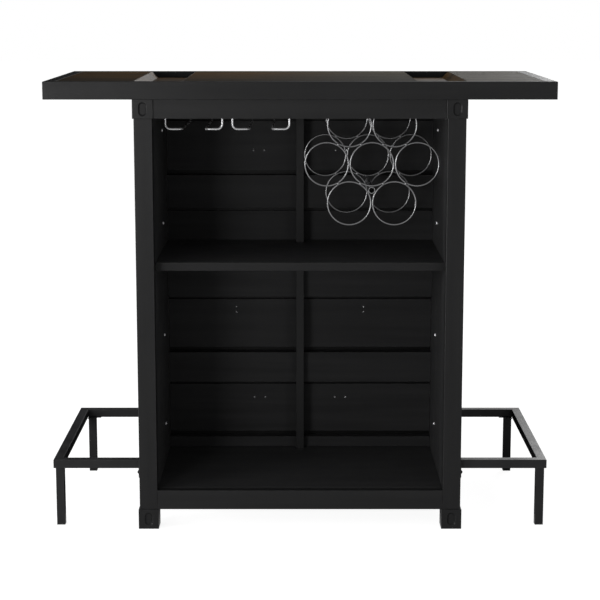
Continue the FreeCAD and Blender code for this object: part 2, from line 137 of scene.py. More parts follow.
def makeEdgeRub():
    group, source, target = newGroup(
        "edgeRub",
        [("Vector", "Vector", None), ("Reach", "Float", 0.002), ("Breakup", "Float", 60.0)],
        [("Mask", "Float")])
    rounded = put(group, "Bevel", {"Radius": source["Reach"]}, samples=4).outputs["Normal"]
    flat = put(group, "NewGeometry").outputs["Normal"]
    edge = spread(group, dot(group, rounded, flat), *sharedEffects["rubTurn"])
    broken = noise(group, source["Vector"], source["Breakup"], detail=3.0)
    patches = spread(group, broken, *sharedEffects["rubPatches"])
    feed(group, target["Mask"], calc(group, "MULTIPLY", edge, patches))
    return group


def makePores():
    group, source, target = newGroup(
        "pores",
        [("Vector", "Vector", None), ("Along", "Vector", (1.0, 1.0, 1.0))],
        [("Pores", "Float"), ("Tone", "Float")])
    lined = put(
        group, "VectorMath", {0: source["Vector"], 1: source["Along"]}, operation="MULTIPLY").outputs[0]
    fine = noise(group, lined, 1.0, detail=5.0, roughness=0.65)
    feed(group, target["Pores"], spread(group, fine, *sharedEffects["poreEdges"]))
    broad = noise(group, lined, sharedEffects["toneScale"], detail=3.0)
    feed(group, target["Tone"], spread(group, broad, *sharedEffects["toneEdges"]))
    return group


def makeHandMarks():
    group, source, target = newGroup(
        "handMarks",
        [("Vector", "Vector", None), ("Size", "Float", 7.0)],
        [("Mask", "Float")])
    patches = noise(group, source["Vector"], source["Size"], detail=6.0, roughness=0.6)
    feed(group, target["Mask"], spread(group, patches, *sharedEffects["markEdges"]))
    return group


edgeRub = makeEdgeRub()
pores = makePores()
handMarks = makeHandMarks()
print("shared effects made")


# Black paint on wood, with the grain faintly showing along each board

blackPaint = {
    "deep": (0.0072, 0.0072, 0.0074, 1.0),
    "plain": (0.0098, 0.0098, 0.0100, 1.0),
    "rubbed": (0.022, 0.022, 0.022, 1.0),
    "roughLow": 0.30,
    "roughHigh": 0.39,
    "poresAlong": 45.0,      # pores per metre along the grain
    "poresAcross": 900.0,    # and across it
    "poreDepth": 0.00012,
    "poreStrength": 0.35,
    "shine": 0.08,
    # tones as shares of the frame's own; they are painted light and shade, lighter or darker copies of the
    # one paint
    "leftSideTone": 3.2,     # insides of the side panels, lighter on their inner faces: painted light
    "rightSideTone": 2.4,
    "shelfTone": 0.95,
    "shelfTopTone": 2.6,     # painted light: the shelf's upper face lighter
    "boardTone": 1.78,       # wall boards, a lighter copy: painted light
    "boardShine": 0.35,      # share of the shine: they are the most matt
    "grooveTone": 0.15,      # the panel at the bottom of the wall's grooves, darker: painted shade in the grooves
    "bandTopTone": 1.5,      # the upper edge of the top's band, lighter: painted light
    "bandTopRougher": 0.2,   # on the long sides
}


def toned(colour, tone):
    return tuple(part * tone for part in colour[:3]) + (1.0,)


def facesTo(tree, direction):
    normal = put(tree, "NewGeometry").outputs["Normal"]
    return spread(tree, dot(tree, normal, direction), *sharedEffects["sideTurn"])


def makeBlackPaint(
        name, grainAxis, tone=1.0, paintedLightTone=None, paintedLightSide=(0.0, 0.0, 1.0), paintedLightRougher=0.0, shine=1.0):
    material, tree, shader, place = startMaterial(name)
    along = [blackPaint["poresAcross"]] * 3
    along[grainAxis] = blackPaint["poresAlong"]
    grain = useGroup(tree, pores, {"Vector": place, "Along": along})
    marks = useGroup(tree, handMarks, {"Vector": place})["Mask"]
    rub = useGroup(tree, edgeRub, {"Vector": place})["Mask"]
    # a tone other than one makes a lighter or darker copy of the paint: painted light and shade
    deep = toned(blackPaint["deep"], tone)
    plain = toned(blackPaint["plain"], tone)
    body = blendColours(tree, grain["Tone"], deep, plain)
    # painted light: the faces turned to one side get a lighter copy of the paint
    if paintedLightTone:
        paintedLight = blendColours(
            tree, grain["Tone"], toned(blackPaint["deep"], paintedLightTone), toned(blackPaint["plain"], paintedLightTone))
        body = blendColours(tree, facesTo(tree, paintedLightSide), body, paintedLight)
    feed(tree, shader["Base Color"], blendColours(tree, rub, body, toned(blackPaint["rubbed"], tone)))
    rough = spread(tree, marks, 0.0, 1.0, blackPaint["roughHigh"], blackPaint["roughLow"])
    if paintedLightRougher:
        rough = calc(tree, "ADD", rough, calc(tree, "MULTIPLY", facesTo(tree, paintedLightSide), paintedLightRougher))
    feed(tree, shader["Roughness"], rough)
    feed(tree, shader["Normal"], bump(
        tree, grain["Pores"], blackPaint["poreDepth"], blackPaint["poreStrength"]))
    shader["Specular IOR Level"].default_value = blackPaint["shine"] * shine
    return material


# Dark brown wood of the top, grain along the bar

topWood = {
    "dark": (0.0060, 0.0050, 0.0028, 1.0),
    "brown": (0.068, 0.0325, 0.0075, 1.0),
    # painted reflection: the olive-grey colour of the glare
    "glareOlive": (0.049, 0.0375, 0.0215, 1.0),
    "glareDrift": (-0.12, 0.14),  # painted reflection: brown up to the first place along the bar, olive-grey glare from the second
    "fade": (-0.19, 0.11),   # full colour from the second place across the bar
    "leftEndShade": (-0.58, -0.42),
    "leftEndShadeRich": 0.4,      # painted shade: colour left at the darker left end
    "sway": (1.6, 5.0, 5.0),
    "swayReach": (0.0, 0.05, 0.05),
    "ripple": 0.05,          # how far the fade's line wanders
    "rippleEdges": (0.3, 0.7),
    "bandsAcross": 16.0,     # broad stripes per metre of depth
    "bandsAlong": 1.1,
    "streaksAcross": 130.0,
    "streaksAlong": 2.4,
    "fibresAcross": 700.0,
    "fibresAlong": 9.0,
    "bandEdges": (0.38, 0.62),
    "streakEdges": (0.36, 0.64),
    "streakRich": (0.45, 1.5),
    "fibreEdges": (0.40, 0.62),
    "fibreRich": (0.7, 1.1),
    "roughLow": 0.50,
    "roughHigh": 0.68,
    "poreDepth": 0.00020,
    "poreStrength": 0.4,
}

# Each board's own piece of grain, colour, colour left at the serving side, contrast of its stripes,
# share of the olive drift, which is painted reflection, roughness added and shine
topBoards = {
    "centreWood": {"shift": (0.0, 0.0, 0.0), "rich": 1.06, "near": 0.14, "stripes": (0.30, 1.1),
                   "glareOlive": 1.0, "rougher": 0.10, "shine": 0.060},
    "leftWood": {"shift": (0.7, 0.31, 0.0), "rich": 0.88, "near": 0.30, "stripes": (0.30, 1.1),
                 "glareOlive": 1.0, "rougher": 0.0, "shine": 0.066},
    "rightWood": {"shift": (-0.4, 0.83, 0.0), "rich": 1.0, "near": 0.85, "stripes": (0.30, 1.1),
                  "glareOlive": 1.0, "rougher": 0.0, "shine": 0.09},
    "leftTroughWood": {"shift": (2.1, 0.11, 0.4), "rich": 0.8, "near": 0.8, "stripes": (0.30, 1.1),
                       "glareOlive": 1.0, "rougher": -0.12, "shine": 0.25},
    "rightTroughWood": {"shift": (1.3, 0.57, 0.2), "rich": 1.2, "near": 1.0, "stripes": (0.0, 1.8),
                        "glareOlive": 0.35, "rougher": -0.12, "shine": 0.080},
}


def makeTopWood(name):
    board = topBoards[name]
    material, tree, shader, place = startMaterial(name)
    moved = stretched(tree, place, (1.0, 1.0, 1.0), board["shift"])
    sway = noise(tree, stretched(tree, moved, topWood["sway"]), 1.0, detail=2.0)
    swayed = put(tree, "CombineXYZ", {0: 0.0, 1: sway, 2: sway}).outputs[0]
    bending = {0: swayed, 1: topWood["swayReach"], 2: moved}
    bent = put(tree, "VectorMath", bending, operation="MULTIPLY_ADD").outputs[0]
    bandScale = (topWood["bandsAlong"], topWood["bandsAcross"], topWood["bandsAcross"])
    streakScale = (topWood["streaksAlong"], topWood["streaksAcross"], topWood["streaksAcross"])
    fibreScale = (topWood["fibresAlong"], topWood["fibresAcross"], topWood["fibresAcross"])
    bands = noise(tree, stretched(tree, bent, bandScale), 1.0, detail=5.0, roughness=0.6)
    streaks = noise(tree, stretched(tree, bent, streakScale), 1.0, detail=3.0, roughness=0.6)
    fibres = noise(tree, stretched(tree, bent, fibreScale), 1.0, detail=4.0, roughness=0.7)
    vein = spread(tree, fibres, *topWood["fibreEdges"])
    where = put(tree, "SeparateXYZ", {0: place}).outputs
    wander = spread(tree, sway, *topWood["rippleEdges"], -topWood["ripple"], topWood["ripple"])
    ripple = calc(tree, "ADD", where["Y"], wander)
    rich = spread(tree, bands, *topWood["bandEdges"], *board["stripes"])
    for share in (
            spread(tree, vein, 0.0, 1.0, *topWood["fibreRich"]),
            spread(tree, streaks, *topWood["streakEdges"], *topWood["streakRich"]),
            spread(tree, ripple, *topWood["fade"], board["near"], 1.0),
            # painted shade: the left end is darkened
            spread(tree, where["X"], *topWood["leftEndShade"], topWood["leftEndShadeRich"], board["rich"])):
        rich = calc(tree, "MULTIPLY", rich, share)
    # painted reflection: the wood turns olive-grey towards the right, where the glare falls
    glareDrift = spread(tree, where["X"], *topWood["glareDrift"], 0.0, board["glareOlive"])
    colour = blendColours(tree, glareDrift, topWood["brown"], topWood["glareOlive"])
    feed(tree, shader["Base Color"], blendColours(tree, rich, topWood["dark"], colour))
    rough = spread(
        tree, vein, 0.0, 1.0, topWood["roughHigh"] + board["rougher"], topWood["roughLow"] + board["rougher"])
    feed(tree, shader["Roughness"], rough)
    feed(tree, shader["Normal"], bump(tree, vein, topWood["poreDepth"], topWood["poreStrength"]))
    shader["Specular IOR Level"].default_value = board["shine"]
    return material


# Powder coat of the footrests

powderCoat = {
    "deep": (0.0080, 0.0080, 0.0084, 1.0),
    "plain": (0.0115, 0.0115, 0.0119, 1.0),
    "rubbed": (0.045, 0.045, 0.046, 1.0),
    "roughLow": 0.30,
    "roughHigh": 0.42,
    "markSize": 14.0,
    "rubReach": 0.0015,
    "rubBreakup": 40.0,
    "peel": 1400.0,
    "peelDepth": 0.00010,
    "peelStrength": 0.3,
    "shine": 0.10,
    "topTone": 2.6,          # painted light: the upper faces lighter
}


def makePowderCoat():
    material, tree, shader, place = startMaterial("powderCoat")
    peel = noise(tree, place, powderCoat["peel"], detail=2.0)
    marks = useGroup(tree, handMarks, {"Vector": place, "Size": powderCoat["markSize"]})["Mask"]
    rub = useGroup(tree, edgeRub, {
        "Vector": place, "Reach": powderCoat["rubReach"], "Breakup": powderCoat["rubBreakup"]})["Mask"]
    body = blendColours(tree, marks, powderCoat["plain"], powderCoat["deep"])
    # painted light: faces that look up get a lighter tone
    paintedLight = blendColours(tree, marks, toned(powderCoat["plain"], powderCoat["topTone"]), powderCoat["plain"])
    body = blendColours(tree, facesTo(tree, (0.0, 0.0, 1.0)), body, paintedLight)
    feed(tree, shader["Base Color"], blendColours(tree, rub, body, powderCoat["rubbed"]))
    rough = spread(tree, marks, 0.0, 1.0, powderCoat["roughLow"], powderCoat["roughHigh"])
    feed(tree, shader["Roughness"], rough)
    feed(tree, shader["Normal"], bump(tree, peel, powderCoat["peelDepth"], powderCoat["peelStrength"]))
    shader["Specular IOR Level"].default_value = powderCoat["shine"]
    return material


# Chrome of the racks and screws

chromePlate = {
    "bright": (0.52, 0.52, 0.53, 1.0),
    "dull": (0.38, 0.38, 0.39, 1.0),
    "roughLow": 0.07,
    "roughHigh": 0.20,
    "markSize": 45.0,
    "ring": (0.28, 1.0, 0.20),           # tone, metal, rougher: the rings are the greyest; the tones are painted light and shade, darker and lighter copies of one chrome
    "weld": (0.26, 1.0, 0.36),
    "spacer": (0.62, 0.9, 0.12),
    "stem": (0.68, 0.45, 0.16),
    "sideScrew": (1.75, 0.15, 0.10),
    "wallScrew": (0.40, 0.80, 0.0),
}


def makeChromePlate(name, tone=1.0, metal=1.0, rougher=0.0):
    material, tree, shader, place = startMaterial(name)
    marks = useGroup(tree, handMarks, {"Vector": place, "Size": chromePlate["markSize"]})["Mask"]
    bright = toned(chromePlate["bright"], tone)
    feed(tree, shader["Base Color"], blendColours(tree, marks, bright, toned(chromePlate["dull"], tone)))
    rough = spread(
        tree, marks, 0.0, 1.0, chromePlate["roughLow"] + rougher, chromePlate["roughHigh"] + rougher)
    feed(tree, shader["Roughness"], rough)
    shader["Metallic"].default_value = metal
    return material


# Moulded black plastic under the feet

mouldedPlastic = {
    "deep": (0.011, 0.011, 0.011, 1.0),
    "plain": (0.020, 0.020, 0.020, 1.0),
    "roughLow": 0.55,
    "roughHigh": 0.72,
    "sparkle": 2200.0,
    "sparkleEdges": (0.3, 0.7),
    "sparkleDepth": 0.00008,
    "sparkleStrength": 0.4,
}


def makeMouldedPlastic():
    material, tree, shader, place = startMaterial("mouldedPlastic")
    grain = noise(tree, place, mouldedPlastic["sparkle"], detail=2.0)
    body = blendColours(tree, grain, mouldedPlastic["deep"], mouldedPlastic["plain"])
    feed(tree, shader["Base Color"], body)
    rough = spread(
        tree, grain, *mouldedPlastic["sparkleEdges"], mouldedPlastic["roughLow"], mouldedPlastic["roughHigh"])
    feed(tree, shader["Roughness"], rough)
    feed(tree, shader["Normal"], bump(
        tree, grain, mouldedPlastic["sparkleDepth"], mouldedPlastic["sparkleStrength"]))
    return material


# Black painted steel of the covers and the footrest bolts

paintedSteel = {
    "deep": (0.0074, 0.0074, 0.0076, 1.0),
    "plain": (0.0096, 0.0096, 0.0098, 1.0),
    "roughLow": 0.30,
    "roughHigh": 0.40,
    "grain": 900.0,
    "grainEdges": (0.3, 0.7),
    "shine": 0.08,
}


def makePaintedSteel():
    material, tree, shader, place = startMaterial("paintedSteel")
    grain = noise(tree, place, paintedSteel["grain"], detail=3.0)
    feed(tree, shader["Base Color"], blendColours(tree, grain, paintedSteel["deep"], paintedSteel["plain"]))
    rough = spread(
        tree, grain, *paintedSteel["grainEdges"], paintedSteel["roughLow"], paintedSteel["roughHigh"])
    feed(tree, shader["Roughness"], rough)
    shader["Specular IOR Level"].default_value = paintedSteel["shine"]
    return material


paintAlongX = makeBlackPaint("paintAlongX", 0)
paintAlongY = makeBlackPaint("paintAlongY", 1)
paintAlongZ = makeBlackPaint("paintAlongZ", 2)
# painted light: the band's upper faces lighter, and on the long sides rougher
bandAlongX = makeBlackPaint(
    "bandAlongX", 0, paintedLightTone=blackPaint["bandTopTone"], paintedLightRougher=blackPaint["bandTopRougher"])
bandAlongY = makeBlackPaint("bandAlongY", 1, paintedLightTone=blackPaint["bandTopTone"])
# painted light: the inner faces of the side panels get a lighter paint
leftSidePaint = makeBlackPaint(
    "leftSidePaint", 2, paintedLightTone=blackPaint["leftSideTone"], paintedLightSide=(1.0, 0.0, 0.0))
rightSidePaint = makeBlackPaint(
    "rightSidePaint", 2, paintedLightTone=blackPaint["rightSideTone"], paintedLightSide=(-1.0, 0.0, 0.0))
# painted light and shade: a slightly darker copy of the paint, its upper face lighter
shelfPaint = makeBlackPaint("shelfPaint", 0, blackPaint["shelfTone"], blackPaint["shelfTopTone"])
# painted light: the wall boards get a lighter copy of the paint
boardPaint = makeBlackPaint("boardPaint", 0, blackPaint["boardTone"], shine=blackPaint["boardShine"])
# painted shade: the groove floors get a darker copy of the paint
groovePaint = makeBlackPaint("groovePaint", 0, blackPaint["grooveTone"])
woods = {name: makeTopWood(name) for name in topBoards}
powder = makePowderCoat()
chrome = makeChromePlate("chromePlate")
# painted light and shade: lighter and darker copies of the one chrome
ringChrome = makeChromePlate("ringChrome", *chromePlate["ring"])
weldChrome = makeChromePlate("weldChrome", *chromePlate["weld"])
spacerChrome = makeChromePlate("spacerChrome", *chromePlate["spacer"])
stemChrome = makeChromePlate("stemChrome", *chromePlate["stem"])
sideZinc = makeChromePlate("sideZinc", *chromePlate["sideScrew"])
wallZinc = makeChromePlate("wallZinc", *chromePlate["wallScrew"])
plastic = makeMouldedPlastic()
coverPaint = makePaintedSteel()
print("materials made")

# Which finish each node wears; the words are the starts of node names
finishes = [
    ("top_centre_board", woods["centreWood"]),
    ("top_wing_board_left", woods["leftWood"]),
    ("top_wing_board_right", woods["rightWood"]),
    ("top_trough_left", woods["leftTroughWood"]),
    ("top_trough_right", woods["rightTroughWood"]),
    ("top_band_left", bandAlongY),
    ("top_band_right", bandAlongY),
    ("top_band_", bandAlongX),
    ("top_", paintAlongX),
    ("upper_rails_ends", paintAlongY),
    ("bottom_rails_ends", paintAlongY),
    ("deck_cleats", paintAlongY),
    ("upper_rail_", paintAlongX),
    ("bottom_rail_", paintAlongX),
    ("post_glides", plastic),
    ("footrest_plugs", plastic),
    ("post_", paintAlongZ),
    ("side_panel_screws", sideZinc),
    ("side_panel_left", leftSidePaint),
    ("side_panel_right", rightSidePaint),
    ("side_", paintAlongZ),
    ("wall_screws", wallZinc),
    ("wall_panel", groovePaint),
    ("server_boards", boardPaint),
    ("guest_boards", boardPaint),
    ("guest_stiles", paintAlongZ),
    ("centre_battens", paintAlongZ),
    ("middle_shelf", shelfPaint),
    ("bottom_deck", shelfPaint),
    ("footrest_", powder),
    ("corner_covers", coverPaint),
    ("bottle_rack_", ringChrome),
    ("stemware_", stemChrome),
    ("rack_", chrome),
    ("shelf_pins", chrome),
]


def finishOf(nodeName):
    for start, material in finishes:
        if nodeName.startswith(start):
            return material
    raise ValueError("no finish for " + nodeName)


for nodeName, piece in nodes.items():
    piece.data.materials.clear()
    piece.data.materials.append(finishOf(nodeName))
print("finishes on", len(nodes), "nodes")


# Helpers for the modelled pieces

pieceMaking = {
    "mergeReach": 0.00002,   # points of a node this near are one
    "poleReach": 0.000001,   # and points of a turned shape on its axis
    "sharpFrom": 35.0,       # degrees
}


def solidBoxes(nodeName):
    # lowest and highest corner of every separate solid, from a merged copy of the node
    shape = bmesh.new()
    shape.from_mesh(nodes[nodeName].data)
    bmesh.ops.remove_doubles(shape, verts=shape.verts, dist=pieceMaking["mergeReach"])
    waiting = set(shape.verts)
    boxes = []
    while waiting:
        start = waiting.pop()
        solid = [start]
        for vert in solid:
            for link in vert.link_edges:
                other = link.other_vert(vert)
                if other in waiting:
                    waiting.remove(other)
                    solid.append(other)
        low = Vector(min(vert.co[axis] for vert in solid) for axis in range(3))
        high = Vector(max(vert.co[axis] for vert in solid) for axis in range(3))
        boxes.append((low, high))
    shape.free()
    return sorted(boxes, key=lambda box: tuple(box[0]))


def turnedShape(profile, steps, closed=False):
    # a line of (radius, height) points, spun once round the upright axis
    shape = bmesh.new()
    points = [shape.verts.new((radius, 0.0, height)) for radius, height in profile]
    edges = [shape.edges.new(pair) for pair in zip(points, points[1:])]
    if closed:
        edges.append(shape.edges.new((points[-1], points[0])))
    bmesh.ops.spin(
        shape, geom=points + edges, cent=(0.0, 0.0, 0.0), axis=(0.0, 0.0, 1.0),
        angle=math.tau, steps=steps, use_merge=True)
    bmesh.ops.remove_doubles(shape, verts=shape.verts, dist=pieceMaking["poleReach"])
    return shape


def domeHeight(radius, height, across):
    # how high a low round head is at a distance from its middle
    ball = (radius * radius + height * height) / (2 * height)
    return math.sqrt(ball * ball - across * across) - ball + height


def vertsOf(parts):
    return [part for part in parts if isinstance(part, bmesh.types.BMVert)]


def edgesOf(parts):
    return [part for part in parts if isinstance(part, bmesh.types.BMEdge)]


def facing(point, outward):
    # a place whose upright axis points outward
    return Matrix.Translation(point) @ Vector(outward).to_track_quat("Z", "Y").to_matrix().to_4x4()


def standing(boxes):
    # places for upright pieces, on the undersides of these boxes
    return [Matrix.Translation(((low.x + high.x) / 2, (low.y + high.y) / 2, low.z)) for low, high in boxes]


def sideways(boxes, outward):
    # places for lying pieces that point away from the middle of the bar, or towards it
    places = []
    for low, high in boxes:
        point = (low + high) / 2
        toRight = (point.x > 0.0) == outward
        point.x = low.x if toRight else high.x
        places.append(facing(point, (1.0 if toRight else -1.0, 0.0, 0.0)))
    return places


def copies(single, places):
    # one shape with the single one at every place
    pattern = bpy.data.meshes.new("pattern")
    single.to_mesh(pattern)
    single.free()
    shape = bmesh.new()
    for place in places:
        before = len(shape.verts)
        shape.from_mesh(pattern)
        shape.verts.ensure_lookup_table()
        bmesh.ops.transform(shape, matrix=place, verts=shape.verts[before:])
    bpy.data.meshes.remove(pattern)
    return shape


def showPiece(shape, name, material, nodeName):
    bmesh.ops.recalc_face_normals(shape, faces=shape.faces)
    mesh = bpy.data.meshes.new(name)
    shape.to_mesh(mesh)
    shape.free()
    mesh.shade_smooth()
    mesh.set_sharp_from_angle(angle=math.radians(pieceMaking["sharpFrom"]))
    mesh.materials.append(material)
    piece = bpy.data.objects.new(name, mesh)
    scene.collection.objects.link(piece)
    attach(piece, "root")
    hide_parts(nodeName)


# Bottle rack: welded wire rings, the spacer tube and the hangers

bottleRings = {
    "rows": ((1, 2), (0, 3), (-1, 2)),   # row above the middle one, rings in it
    "outer": 0.1064,
    "wire": 0.0040,
    "wireFaces": 14,
    "turnFaces": 96,
    "buttWeld": 0.00035,     # how far the weld that closes a ring stands out
    "buttWeldReach": 0.0030,
    "bead": (0.0042, 0.0037, 0.0030),    # half sizes: across the joint, along it, front to back
    "beadForward": 0.0008,
    "beadFaces": (14, 9),
    "touching": 1.02,        # rings nearer than this share of their size touch
}


def ringCentres(nodeName):
    low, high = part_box(nodeName)
    middle = (low + high) / 2
    pitch = (high.x - low.x - bottleRings["outer"]) / 2
    rowPitch = (high.z - low.z - bottleRings["outer"]) / 2
    centres = []
    for row, count in bottleRings["rows"]:
        for number in range(count):
            across = (number - (count - 1) / 2) * pitch
            centres.append(middle + Vector((across, 0.0, row * rowPitch)))
    return centres


def oneRing():
    radius = (bottleRings["outer"] - bottleRings["wire"]) / 2
    shape = bmesh.new()
    bmesh.ops.create_circle(
        shape, segments=bottleRings["wireFaces"], radius=bottleRings["wire"] / 2,
        matrix=Matrix.Translation((radius, 0.0, 0.0)))
    bmesh.ops.spin(
        shape, geom=shape.verts[:] + shape.edges[:], cent=(0.0, 0.0, 0.0), axis=(0.0, 1.0, 0.0),
        angle=math.tau, steps=bottleRings["turnFaces"], use_merge=True)
    for vert in shape.verts:
        # the butt weld sits at the top of the ring
        reach = abs(vert.co.x) / bottleRings["buttWeldReach"]
        if vert.co.z > 0.0 and reach < 1.0:
            core = Vector((vert.co.x, 0.0, vert.co.z)).normalized() * radius
            vert.co += (vert.co - core).normalized() * bottleRings["buttWeld"] * (1.0 - reach)
    return shape


def makeRings():
    for name in ("front_rings", "rear_rings"):
        nodeName = "bottle_rack_" + name
        places = [Matrix.Translation(centre) for centre in ringCentres(nodeName)]
        showPiece(copies(oneRing(), places), name, ringChrome, nodeName)


def makeRingWelds():
    # beads where rings of two rows meet, on the outer side of both clusters
    places = []
    for nodeName, outward in (("bottle_rack_front_rings", -1.0), ("bottle_rack_rear_rings", 1.0)):
        centres = ringCentres(nodeName)
        reach = bottleRings["outer"] * bottleRings["touching"]
        for first in centres:
            for second in centres:
                joint = second - first
                if joint.z < -bottleRings["wire"] and joint.length < reach:
                    middle = (first + second) / 2 + Vector((0.0, outward * bottleRings["beadForward"], 0.0))
                    turn = Matrix.Rotation(-math.atan2(joint.z, joint.x), 4, "Y")
                    places.append(Matrix.Translation(middle) @ turn)
    bead = bmesh.new()
    around, upwards = bottleRings["beadFaces"]
    bmesh.ops.create_uvsphere(bead, u_segments=around, v_segments=upwards, radius=1.0)
    across, along, deep = bottleRings["bead"]
    bmesh.ops.scale(bead, vec=(across, deep, along), verts=bead.verts)
    showPiece(copies(bead, places), "ring_welds", weldChrome, "bottle_rack_clips")


spacerTube = {"wall": 0.0015, "rim": 0.0004, "faces": 32}


def makeSpacer():
    low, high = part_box("bottle_rack_spacer")
    rim = spacerTube["rim"]
    outer = (high.x - low.x) / 2
    inner = outer - spacerTube["wall"]
    length = high.y - low.y
    profile = [
        (outer, rim), (outer, length - rim), (outer - rim, length), (inner + rim, length),
        (inner, length - rim), (inner, rim), (inner + rim, 0.0), (outer - rim, 0.0),
    ]
    rear = Vector(((low.x + high.x) / 2, high.y, (low.z + high.z) / 2))
    places = [facing(rear, (0.0, -1.0, 0.0))]
    shape = copies(turnedShape(profile, spacerTube["faces"], closed=True), places)
    showPiece(shape, "spacer_tube", spacerChrome, "bottle_rack_spacer")


hangerRod = {"weld": 0.0008, "weldHigh": 0.0016, "faces": 20}


def makeHangers():
    # a rod with a weld fillet at either end
    boxes = solidBoxes("bottle_rack_hangers")
    low, high = boxes[0]
    radius = (high.x - low.x) / 2
    length = high.z - low.z
    wide = radius + hangerRod["weld"]
    hollow = radius + hangerRod["weld"] / 3
    fillet = hangerRod["weldHigh"]
    profile = [
        (0.0, 0.0), (wide, 0.0), (hollow, fillet / 2), (radius, fillet),
        (radius, length - fillet), (hollow, length - fillet / 2), (wide, length), (0.0, length),
    ]
    shape = copies(turnedShape(profile, hangerRod["faces"]), standing(boxes))
    showPiece(shape, "rack_hangers", ringChrome, "bottle_rack_hangers")


# Stemware rack: bent wires in pairs

stemWire = {
    "wire": 0.0050,
    "wireFaces": 16,
    "slot": 0.0545,          # between the two wires that hold a glass foot
    "bend": 0.0120,
    "bendFaces": 8,
}


def bentWire(points, bend, thickness):
    # a circle pushed along every straight run and spun through every right-angle bend
    shape = bmesh.new()
    start = facing(points[0], points[1] - points[0])
    bmesh.ops.create_circle(
        shape, cap_ends=True, segments=stemWire["wireFaces"], radius=thickness / 2, matrix=start)
    edges = shape.edges[:]
    reached = points[0]
    for corner, after in zip(points[1:], points[2:] + [None]):
        arriving = (corner - reached).normalized()
        target = corner if after is None else corner - arriving * bend
        pushed = bmesh.ops.extrude_edge_only(shape, edges=edges)["geom"]
        verts, edges = vertsOf(pushed), edgesOf(pushed)
        bmesh.ops.translate(shape, vec=target - reached, verts=verts)
        if after is None:
            break
        leaving = (after - corner).normalized()
        last = bmesh.ops.spin(
            shape, geom=verts + edges, cent=target + leaving * bend, axis=arriving.cross(leaving),
            angle=math.radians(90.0), steps=stemWire["bendFaces"])["geom_last"]
        edges = edgesOf(last)
        reached = corner + leaving * bend
    bmesh.ops.edgeloop_fill(shape, edges=edges)
    return shape


def makeStemware():
    half = stemWire["wire"] / 2
    for name in ("first", "second"):
        nodeName = "stemware_" + name + "_wires"
        low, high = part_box(nodeName)
        middle = (low.x + high.x) / 2
        near, far = low.y + half, high.y - half
        foot, top = low.z + half, high.z
        wall = high.x - half
        hook = middle + stemWire["slot"] / 2
        route = [
            (wall, near, top), (wall, near, foot), (hook, near, foot), (hook, far, foot), (hook, far, top)]
        shape = bentWire([Vector(point) for point in route], stemWire["bend"], stemWire["wire"])
        across = Matrix.Translation((2 * middle, 0.0, 0.0)) @ Matrix.Scale(-1.0, 4, (1.0, 0.0, 0.0))
        shape = copies(shape, [Matrix.Identity(4), across])
        showPiece(shape, name + "_stem_wires", stemChrome, nodeName)


# Screws with a cross recess

crossScrew = {
    "head": 0.0080,
    "high": 0.0024,
    "shank": 0.0040,
    "cross": 0.0046,         # tip to tip
    "crossWide": 0.0012,
    "crossDeep": 0.0014,
    "cornerIn": 0.8,         # corners of the head's middle patch, drawn in
    "crossTaper": 0.7,       # floor of the recess against its mouth
    "nearRim": 0.82,         # where the head's last ring of faces starts
}


def oneScrew(length):
    radius, high = crossScrew["head"] / 2, crossScrew["high"]
    tip, wide = crossScrew["cross"] / 2, crossScrew["crossWide"] / 2
    shape = bmesh.new()
    bmesh.ops.create_grid(shape, x_segments=3, y_segments=3, size=tip)
    for vert in shape.verts:
        # the two middle lines close up to the width of the cross, and all points rise to the dome
        vert.co.x = vert.co.x if abs(vert.co.x) > tip / 2 else math.copysign(wide, vert.co.x)
        vert.co.y = vert.co.y if abs(vert.co.y) > tip / 2 else math.copysign(wide, vert.co.y)
        vert.co.xy *= crossScrew["cornerIn"] if min(abs(vert.co.x), abs(vert.co.y)) > tip / 2 else 1.0
        vert.co.z = domeHeight(radius, high, vert.co.xy.length)
    crossFaces = [f for f in shape.faces if min(abs(c) for c in f.calc_center_median().xy) < wide]
    edges = [edge for edge in shape.edges if edge.is_boundary]
    shank = crossScrew["shank"] / 2
    nearRim = crossScrew["nearRim"] * radius
    nearRimHigh = domeHeight(radius, high, nearRim)
    for across, height in ((nearRim, nearRimHigh), (radius, 0.0), (shank, 0.0), (shank, -length)):
        pushed = bmesh.ops.extrude_edge_only(shape, edges=edges)["geom"]
        edges = edgesOf(pushed)
        for vert in vertsOf(pushed):
            vert.co.xy = vert.co.xy.normalized() * across
            vert.co.z = height
    bmesh.ops.edgeloop_fill(shape, edges=edges)
    verts = vertsOf(bmesh.ops.extrude_face_region(shape, geom=crossFaces)["geom"])
    bmesh.ops.delete(shape, geom=crossFaces, context="FACES_ONLY")
    bmesh.ops.translate(shape, vec=(0.0, 0.0, -crossScrew["crossDeep"]), verts=verts)
    taper = crossScrew["crossTaper"]
    bmesh.ops.scale(shape, vec=(taper, taper, 1.0), verts=verts)
    return shape


def makeScrews():
    high = crossScrew["high"]
    for nodeName, axis, zinc in (
            ("side_panel_screws", 0, sideZinc), ("wall_screws", 1, wallZinc), ("rack_screws", 2, wallZinc)):
        places = []
        for low, top in solidBoxes(nodeName):
            point = (low + top) / 2
            outward = Vector((0.0, 0.0, 0.0))
            backward = axis > 0 or point.x > 0.0     # only the left side's heads look along their axis
            outward[axis] = -1.0 if backward else 1.0
            point[axis] = low[axis] + high if backward else top[axis] - high
            length = top[axis] - low[axis] - high    # the same for all screws of a node
            places.append(facing(point, outward))
        showPiece(copies(oneScrew(length), places), nodeName + "_seen", zinc, nodeName)


# Button-head bolts with a hexagon socket on the footrest tabs

tabBolt = {"head": 0.0086, "high": 0.0030, "washer": 0.0110, "washerHigh": 0.0010,
           "socket": 0.0036, "deep": 0.0018, "faces": 24, "domeSteps": 4}


